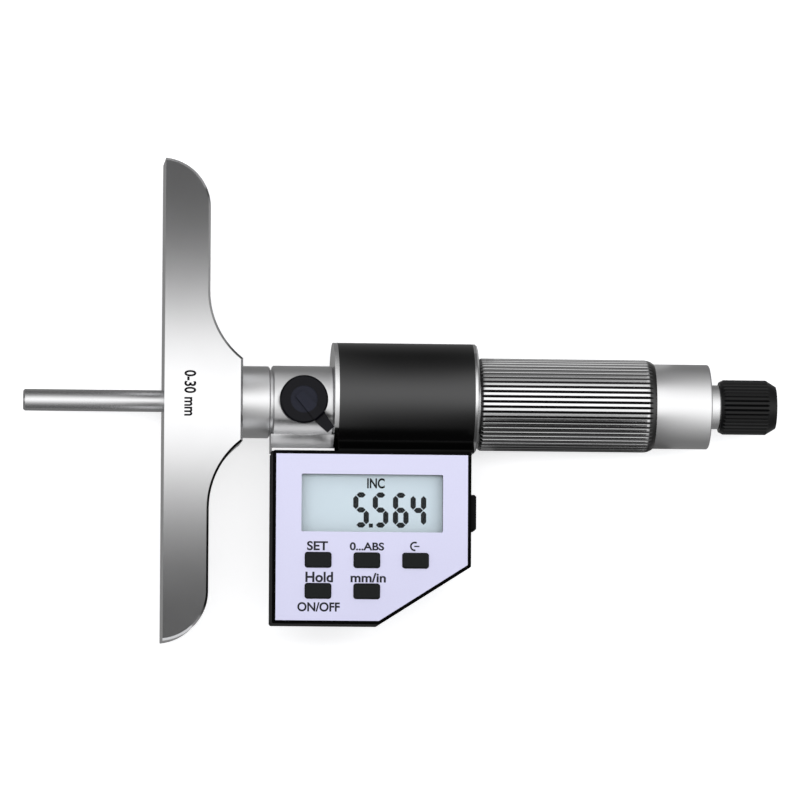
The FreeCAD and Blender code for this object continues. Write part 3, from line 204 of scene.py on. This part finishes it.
TURNED = (14, 1.2, 1.2)
SATIN = (7, 7, 7)
materials = {
    "satin_chrome": metal("satin_chrome", 0.62, 0.16, SATIN, relief=0.001),
    "turned_chrome": metal("turned_chrome", 0.62, 0.3, TURNED, relief=0.004),
    "fluted_chrome": metal("fluted_chrome", 0.64, 0.2, SATIN, relief=0.001),
    "ground_steel": metal("ground_steel", 0.6, 0.26, TURNED, relief=0.004),
    "spring_steel": metal("spring_steel", 0.5, 0.3, SATIN),
    "black_screw": metal("black_screw", 0.06, 0.35, SATIN),
    "cell_can": metal("cell_can", 0.6, 0.25, SATIN),
    "black_lacquer": metal("black_lacquer", 0.064, 0.34, SATIN, relief=0.002),
    "lever_black": plastic("lever_black", linear(9, 9, 14), 0.36, grain=0.002, specular=0.12),
    "knob_black": plastic("knob_black", linear(5, 5, 6), 0.3, grain=0.003, specular=0.2),
    "housing_plastic": plastic("housing_plastic", linear(2, 2, 2), 0.5, grain=0.012, specular=0.03),
    "face_film": plastic("face_film", linear(216, 215, 241), 0.45, grain=0.003, fleck=0.012),
    "dark_plastic": plastic("dark_plastic", linear(26, 26, 28), 0.5, grain=0.015, specular=0.3),
    "button_plastic": plastic("button_plastic", linear(28, 30, 30), 0.55, grain=0.01, specular=0.08),
    "black_rubber": plastic("black_rubber", linear(10, 10, 11), 0.6, grain=0.02, specular=0.1),
    "grey_rubber": plastic("grey_rubber", linear(160, 160, 166), 0.7, grain=0.03),
    "display_glass": plastic("display_glass", linear(222, 238, 247), 0.5, grain=0.002, fleck=0.01),
    "board": plastic("board", linear(20, 92, 52), 0.35, grain=0.008),
    "ribbon_film": plastic("ribbon_film", linear(190, 120, 40), 0.3, grain=0.002),
    "ink": plastic("ink", linear(12, 12, 28), 0.5, grain=0.001, fleck=0.02),
    "segment": plastic("segment", linear(2, 4, 6), 0.5, grain=0.001, specular=0.1, fleck=0.02),
    "engraving": plastic("engraving", linear(6, 6, 8), 0.6, grain=0.002, specular=0.1),
}
materials["brass"] = shader("brass", (0.76, 0.56, 0.25, 1.0), 0.3, metallic=1.0)
bump(materials["brass"], noise(materials["brass"], TURNED), 0.3, 0.006)
window = shader("clear_window", linear(120, 128, 130), 0.06, specular=0.5)
window.node_tree.nodes["Principled BSDF"].inputs["Alpha"].default_value = 0.05
bump(window, noise(window, (0.4, 0.4, 0.4)), 0.1, 0.01)
materials["clear_window"] = window

# Painted shade: the milled flutes are coloured dark below their polished lands, where shade falls in the
# grooves.
LAND_BOTTOM, LAND_TOP = 0.08 * MM, 0.02 * MM
thimble_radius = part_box("thimble")[1][2]
two_tone(materials["fluted_chrome"], radius_from_axis(materials["fluted_chrome"]),
         thimble_radius - LAND_BOTTOM, thimble_radius - LAND_TOP, grey(0.05), grey(0.62))

# Painted shade: the cover is coloured darker along its lower edge, just over the housing, where shade falls
# between it and the housing.
EDGE_START, EDGE_END = 2 * MM, 3 * MM
housing_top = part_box("housing_front")[1][1]
two_tone(materials["black_lacquer"], height_along(materials["black_lacquer"], "Y"), housing_top + EDGE_START,
         housing_top + EDGE_END, grey(0.006), grey(0.06))

# Painted light: the lock lever is coloured lighter in its middle, standing in for the light that falls in its
# recess.
MIDDLE_RADIUS, MIDDLE_EDGE = 2.8 * MM, 0.1 * MM
lever_low, lever_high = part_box("lock_stud")
lever_middle = ((lever_low[0] + lever_high[0]) / 2, (lever_low[1] + lever_high[1]) / 2)
two_tone(materials["lever_black"], radius_from_axis(materials["lever_black"], lever_middle, ("X", "Y")),
         MIDDLE_RADIUS, MIDDLE_RADIUS + MIDDLE_EDGE, linear(26, 28, 40), linear(4, 4, 10))

OTHER_MATERIAL = {
    "lock_lever": "lever_black",
    "stem_collar": "turned_chrome",
    "thimble_cap": "turned_chrome",
    "clamp_body": "turned_chrome",
    "thimble": "fluted_chrome",
    "ratchet_knob": "knob_black",
}
for subpart in frame["record"]["subparts"]:
    node, slot = subpart["node"], subpart["material_slot"]
    mesh = frame["nodes"][node].data
    mesh.materials.clear()
    mesh.materials.append(materials[OTHER_MATERIAL.get(node, slot)])


# ---- lettering and display ---------------------------------------------------------------------------------


def add_mesh(name, vertices, faces, material, body="frame"):
    mesh = bpy.data.meshes.new(name)
    mesh.from_pydata([tuple(part * MM for part in vertex) for vertex in vertices], [], faces)
    mesh.materials.append(materials[material])
    piece = bpy.data.objects.new(name, mesh)
    bpy.context.collection.objects.link(piece)
    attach(piece, body)
    return piece


def plates(name, outlines, low, high, material):
    """Thin flat plates between two levels, one for each outline that runs anticlockwise."""
    vertices, faces = [], []
    for outline in outlines:
        first, count = len(vertices), len(outline)
        vertices += [(x, y, low) for x, y in outline] + [(x, y, high) for x, y in outline]
        faces.append([first + place for place in reversed(range(count))])
        faces.append([first + count + place for place in range(count)])
        for place in range(count):
            following = (place + 1) % count
            faces.append([first + place, first + following, first + count + following, first + count + place])
    return add_mesh(name, vertices, faces, material)


def lettering(name, words, centre, width, height, level, material, turn=0.0, weight=0.028):
    """A printed word: centred on a place, with its own width and height in millimetres."""
    curve = bpy.data.curves.new(name + "_text", "FONT")
    curve.body = words
    curve.offset = weight
    writing = bpy.data.objects.new(name + "_text", curve)
    bpy.context.collection.objects.link(writing)
    bpy.context.view_layer.update()
    evaluated = writing.evaluated_get(bpy.context.evaluated_depsgraph_get())
    mesh = bpy.data.meshes.new_from_object(evaluated)
    bpy.data.objects.remove(writing)
    bpy.data.curves.remove(curve)
    xs = [vertex.co.x for vertex in mesh.vertices]
    ys = [vertex.co.y for vertex in mesh.vertices]
    middle = Vector(((min(xs) + max(xs)) / 2, (min(ys) + max(ys)) / 2, 0))
    scale = Vector((width * MM / (max(xs) - min(xs)), height * MM / (max(ys) - min(ys)), 1))
    rotation = Matrix.Rotation(math.radians(turn), 3, "Z")
    place = Vector((centre[0] * MM, centre[1] * MM, level * MM))
    for vertex in mesh.vertices:
        vertex.co = rotation @ ((vertex.co - middle) * scale) + place
    mesh.materials.clear()
    mesh.materials.append(materials[material])
    piece = bpy.data.objects.new(name, mesh)
    bpy.context.collection.objects.link(piece)
    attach(piece, "frame")
    return piece


def box_of(node):
    """The corners of a CAD node, in millimetres."""
    low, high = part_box(node)
    return [part / MM for part in low], [part / MM for part in high]


face_level = box_of("face_panel")[1][2] + 0.012


def button_centre(node):
    low, high = box_of(node)
    return (low[0] + high[0]) / 2, (low[1] + high[1]) / 2


# Each label: its words, its button, its place from the button's centre, and its width and height,
# in millimetres.
LABELS = [
    ("label_set", "SET", "button_set", -0.15, 2.95, 4.4, 1.95),
    ("label_abs", "0...ABS", "button_abs", 0.0, 2.9, 7.2, 1.7),
    ("label_hold", "Hold", "button_hold", 0.25, 2.9, 5.8, 2.2),
    ("label_unit", "mm/in", "button_unit", 0.3, 2.85, 7.4, 2.0),
    ("label_on_off", "ON/OFF", "button_hold", 0.15, -3.35, 8.9, 1.95),
]
for name, words, node, aside, up, width, height in LABELS:
    middle = button_centre(node)
    lettering(name, words, (middle[0] + aside, middle[1] + up), width, height, face_level, "ink")


def arc_strip(centre, radius, width, start, end, count=2):
    """The outline of a bent strip, from one angle to another."""
    outer, inner = [], []
    for place in range(count + 1):
        angle = math.radians(start + (end - start) * place / count)
        direction = (math.cos(angle), math.sin(angle))
        for edge, reach in ((outer, radius + width / 2), (inner, radius - width / 2)):
            edge.append((centre[0] + direction[0] * reach, centre[1] + direction[1] * reach))
    return outer + inner[::-1]


# The small mark is an open ring with a bar.
MARK_RADIUS, MARK_LINE, MARK_START, MARK_TURN, MARK_STEPS = 0.82, 0.36, 60, 220, 10
BAR_START, BAR_END, BAR_HALF = -0.1, 1.0, 0.13
send = button_centre("button_send")
mark = (send[0] - 0.2, send[1] + 3.0)
strips = []
for step in range(MARK_STEPS):
    start, end = (MARK_START + MARK_TURN * place / MARK_STEPS for place in (step, step + 1))
    strips.append(arc_strip(mark, MARK_RADIUS, MARK_LINE, start, end))
strips.append([(mark[0] + BAR_START, mark[1] - BAR_HALF), (mark[0] + BAR_END, mark[1] - BAR_HALF),
               (mark[0] + BAR_END, mark[1] + BAR_HALF), (mark[0] + BAR_START, mark[1] + BAR_HALF)])
plates("label_send", strips, face_level - 0.01, face_level, "ink")

# The display shows a reading in seven-segment figures.
SEGMENTS = {"5": "afgcd", "6": "afgedc", "4": "fgbc"}
display_top = box_of("display_module")[1][2]
segment_low, segment_high = display_top + 0.01, display_top + 0.03


def figure(left, bottom, width, height, stroke, lit):
    """The lit segments of one figure, each with pointed ends."""
    half, gap = stroke / 2, 0.12
    right, top, middle = left + width, bottom + height, bottom + height / 2

    def level(y):
        return [(left + half + gap, y), (left + stroke + gap, y - half), (right - stroke - gap, y - half),
                (right - half - gap, y), (right - stroke - gap, y + half), (left + stroke + gap, y + half)]

    def upright(x, low, high):
        return [(x, low + gap), (x + half, low + half + gap), (x + half, high - half - gap), (x, high - gap),
                (x - half, high - half - gap), (x - half, low + half + gap)]

    shapes = {
        "a": level(top - half), "g": level(middle), "d": level(bottom + half),
        "f": upright(left + half, middle, top - half), "b": upright(right - half, middle, top - half),
        "e": upright(left + half, bottom + half, middle), "c": upright(right - half, bottom + half, middle),
    }
    return [shapes[name] for name in lit]


def rectangle(left, low, right, high):
    return [(left, low), (right, low), (right, high), (left, high)]


display_left, display_low = box_of("display_module")[0][:2]
FIGURES = [("5", 11.7), ("5", 15.8), ("6", 20.05), ("4", 23.75)]
FIGURE_LOW, FIGURE_WIDTH, FIGURE_HEIGHT, FIGURE_STROKE = 1.75, 3.3, 7.4, 1.1
POINT_LEFT, POINT_SIDE = 15.0, 0.85
strokes = []
for character, left in FIGURES:
    strokes += figure(display_left + left, display_low + FIGURE_LOW, FIGURE_WIDTH, FIGURE_HEIGHT,
                      FIGURE_STROKE, SEGMENTS[character])
strokes.append(rectangle(display_left + POINT_LEFT, display_low + FIGURE_LOW,
                         display_left + POINT_LEFT + POINT_SIDE, display_low + FIGURE_LOW + POINT_SIDE))
plates("display_figures", strokes, segment_low, segment_high, "segment")
MODE_RIGHT, MODE_UP, MODE_WIDTH, MODE_HEIGHT = 16.45, 11.05, 3.7, 2.15
lettering("display_mode", "INC", (display_left + MODE_RIGHT, display_low + MODE_UP), MODE_WIDTH, MODE_HEIGHT,
          segment_high, "segment")

# The model's own range is engraved along the base.
base_high = box_of("measuring_base")[1]
lettering("range_engraving", "0-30 mm", (5.4, 1.2), 9.6, 2.5, base_high[2] + 0.01, "engraving",
          turn=-90)


# ---- floor, studio and light -------------------------------------------------------------------------------

floor_level = cad_box[0][2] - 0.0002
centre = Vector(((cad_box[0][0] + cad_box[1][0]) / 2, 0, 0))


def plane(name, place, width, depth):
    half_width, half_depth = width / 2, depth / 2
    mesh = bpy.data.meshes.new(name)
    corners = [(-half_width, -half_depth, 0), (half_width, -half_depth, 0), (half_width, half_depth, 0),
               (-half_width, half_depth, 0)]
    mesh.from_pydata(corners, [], [(0, 1, 2, 3)])
    thing = bpy.data.objects.new(name, mesh)
    thing.location = place
    bpy.context.collection.objects.link(thing)
    return thing


def seen_directly(nodes, links):
    """1 for rays from the camera, off metal and through glass, and 0 for the light on rough surfaces."""
    path = nodes.new("ShaderNodeLightPath")
    total = path.outputs["Is Camera Ray"]
    for kind in ("Is Glossy Ray", "Is Transmission Ray"):
        add = nodes.new("ShaderNodeMath")
        add.operation = "MAXIMUM"
        links.new(total, add.inputs[0])
        links.new(path.outputs[kind], add.inputs[1])
        total = add.outputs["Value"]
    return total


def pale_floor(level, lift):
    """A white floor that keeps soft shadows: part of its whiteness is its own when it is seen directly."""
    material = bpy.data.materials.new("floor")
    material.use_nodes = True
    nodes, links = material.node_tree.nodes, material.node_tree.links
    surface = nodes["Principled BSDF"]
    surface.inputs["Base Color"].default_value = grey(level)
    surface.inputs["Roughness"].default_value = 0.9
    surface.inputs["Specular IOR Level"].default_value = 0.0
    surface.inputs["Emission Color"].default_value = (1, 1, 1, 1)
    strength = nodes.new("ShaderNodeMath")
    strength.operation = "MULTIPLY"
    strength.inputs[1].default_value = lift
    links.new(seen_directly(nodes, links), strength.inputs[0])
    links.new(strength.outputs["Value"], surface.inputs["Emission Strength"])
    return material


floor = plane("floor", (centre.x, 0, floor_level), 6, 6)
floor.data.materials.append(pale_floor(0.8, 0.6))

world = bpy.data.worlds.new("studio")
bpy.context.scene.world = world
world.use_nodes = True
nodes, links = world.node_tree.nodes, world.node_tree.links
background = nodes["Background"]
background.inputs["Color"].default_value = (0.97, 0.98, 1.0, 1.0)
strength = nodes.new("ShaderNodeMapRange")
strength.inputs["To Min"].default_value = 0.62
strength.inputs["To Max"].default_value = 1.0
links.new(seen_directly(nodes, links), strength.inputs["Value"])
links.new(strength.outputs["Result"], background.inputs["Strength"])


def reflected_only(thing):
    """Keeps a stage piece out of direct view and shadow: only reflections show it."""
    thing.visible_camera = False
    thing.visible_diffuse = False
    thing.visible_transmission = False
    thing.visible_shadow = False
    return thing


def glowing(name, level):
    """A plain glow, and the nodes to grade it with."""
    material = bpy.data.materials.new(name)
    material.use_nodes = True
    nodes, links = material.node_tree.nodes, material.node_tree.links
    nodes.remove(nodes["Principled BSDF"])
    glow = nodes.new("ShaderNodeEmission")
    glow.inputs["Strength"].default_value = level
    links.new(glow.outputs["Emission"], nodes["Material Output"].inputs["Surface"])
    return material, glow


def graded(name, level, value_of, low, high, brightness):
    """A glow whose brightness is a function of a value worked out from the object's coordinates."""
    material, glow = glowing(name, level)
    nodes, links = material.node_tree.nodes, material.node_tree.links
    limits = nodes.new("ShaderNodeMapRange")
    limits.inputs["From Min"].default_value = low
    limits.inputs["From Max"].default_value = high
    links.new(value_of(nodes, links), limits.inputs["Value"])
    ramp = nodes.new("ShaderNodeValToRGB")
    elements = ramp.color_ramp.elements
    while len(elements) < RAMP_STOPS:
        elements.new(0.5)
    for number, element in enumerate(elements):
        element.position = number / (RAMP_STOPS - 1)
        bright = brightness(low + (high - low) * element.position)
        element.color = (bright, bright, bright, 1)
    links.new(limits.outputs["Result"], ramp.inputs["Fac"])
    links.new(ramp.outputs["Color"], glow.inputs["Color"])
    return material


def angle_over(nodes, links):
    """The angle from straight up towards +Y, round the X axis."""
    own = own_coordinates(nodes, links)
    turn = nodes.new("ShaderNodeMath")
    turn.operation = "ARCTAN2"
    links.new(own["Y"], turn.inputs[0])
    links.new(own["Z"], turn.inputs[1])
    return turn.outputs["Value"]


def across(nodes, links):
    return own_coordinates(nodes, links)["Y"]


def bell(middle, width, least):
    """A bell curve that is 1 at its middle and falls to its least value."""
    return lambda value: least + (1 - least) * math.exp(-(((value - middle) / width) ** 2))


def step_up(start, end, least):
    """A smooth rise from the least value to 1."""
    def brightness(value):
        share = min(1.0, max(0.0, (value - start) / (end - start)))
        return least + (1 - least) * share * share * (3 - 2 * share)
    return brightness


def band(rise, fall, least, rest):
    """A rise from the least value to 1, and then a fall to a resting value."""
    upwards, downwards = step_up(*rise, least), step_up(-fall[1], -fall[0], rest)
    return lambda value: min(upwards(value), downwards(-value))


def tunnel(name, start, end, level, brightness):
    """A half-round graded softbox over one stretch of the spindle."""
    reach = math.radians(TUNNEL_REACH)
    angles = [reach * (2 * step / TUNNEL_STEPS - 1) for step in range(TUNNEL_STEPS + 1)]
    vertices = [(x, TUNNEL_RADIUS * math.sin(angle), TUNNEL_RADIUS * math.cos(angle)) for angle in angles
                for x in (start, end)]
    faces = [(2 * step, 2 * step + 1, 2 * step + 3, 2 * step + 2) for step in range(TUNNEL_STEPS)]
    mesh = bpy.data.meshes.new(name)
    mesh.from_pydata(vertices, [], faces)
    thing = bpy.data.objects.new(name, mesh)
    bpy.context.collection.objects.link(thing)
    glow = graded(name, level, angle_over, -reach, reach, lambda angle: brightness(math.degrees(angle)))
    mesh.materials.append(glow)
    return reflected_only(thing)


def card(name, place, width, depth, level):
    """A plain card that lies on the floor."""
    thing = plane(name, place, width, depth)
    thing.data.materials.append(glowing(name, level)[0])
    return reflected_only(thing)


RAMP_STOPS = 31
TUNNEL_RADIUS, TUNNEL_REACH, TUNNEL_STEPS = 0.062, 100, 50
METAL_GAIN = 1.75
tunnel("light_over_rod", -0.5, -0.004, METAL_GAIN, bell(2, 37, 0.085))
tunnel("light_over_stem", 0.0215, 0.0405, METAL_GAIN, bell(9, 54, 0.15))
tunnel("light_over_cover", 0.0405, 0.0705, METAL_GAIN, bell(7, 34, 0.06))
tunnel("light_over_thimble", 0.0705, 0.11, METAL_GAIN, band((-36, -8), (30, 66), 0.02, 0.16))
tunnel("light_over_cap", 0.11, 0.6, METAL_GAIN, bell(1, 58, 0.15))
card("card_under", (centre.x, 0, floor_level + 0.0001), 1.2, 0.6, 0.26)
card("card_behind_thimble", (0.09, 0.04, floor_level + 0.0002), 0.038, 0.06, 0.5)
card("card_below_thimble", (0.09, -0.04, floor_level + 0.0002), 0.038, 0.06, 0.12)
over_base = plane("light_over_base", (0.0085, 0.0, 0.055), 0.026, 0.2)
glow = graded("light_over_base", METAL_GAIN, across, -0.06, 0.06, bell(0.004, 0.0222, 0.085))
over_base.data.materials.append(glow)
reflected_only(over_base)


def area(name, place, target, width, depth, power):
    light = bpy.data.lights.new(name, "AREA")
    light.shape = "RECTANGLE"
    light.size = width
    light.size_y = depth
    light.energy = power
    lamp = bpy.data.objects.new(name, light)
    lamp.location = place
    direction = Vector(target) - Vector(place)
    lamp.rotation_euler = direction.to_track_quat("-Z", "Y").to_euler()
    lamp.visible_camera = False
    lamp.visible_glossy = False
    bpy.context.collection.objects.link(lamp)
    return lamp


area("strip", (centre.x, 0.012, 0.25), (centre.x, 0.0, 0.0), 0.6, 0.07, 0.42)


# ---- camera ------------------------------------------------------------------------------------------------

CAMERA_ROLL = 0.31
camera_data = bpy.data.cameras.new("camera")
camera_data.lens = 321.4
camera_data.sensor_width = 36.0
camera_data.clip_start = 0.01
camera_data.clip_end = 20.0
camera = bpy.data.objects.new("camera", camera_data)
eye = Vector((-0.061, -0.115, 1.5))
target = Vector((0.0501, 0.00081, 0.0))
camera.location = eye
back = (eye - target).normalized()
side = Vector((0, 1, 0)).cross(back).normalized()
upright = Matrix((side, back.cross(side), back)).transposed()
camera.rotation_euler = (upright @ Matrix.Rotation(math.radians(CAMERA_ROLL), 3, "Z")).to_euler()
bpy.context.collection.objects.link(camera)
bpy.context.scene.camera = camera
bpy.context.scene.view_settings.view_transform = "Standard"
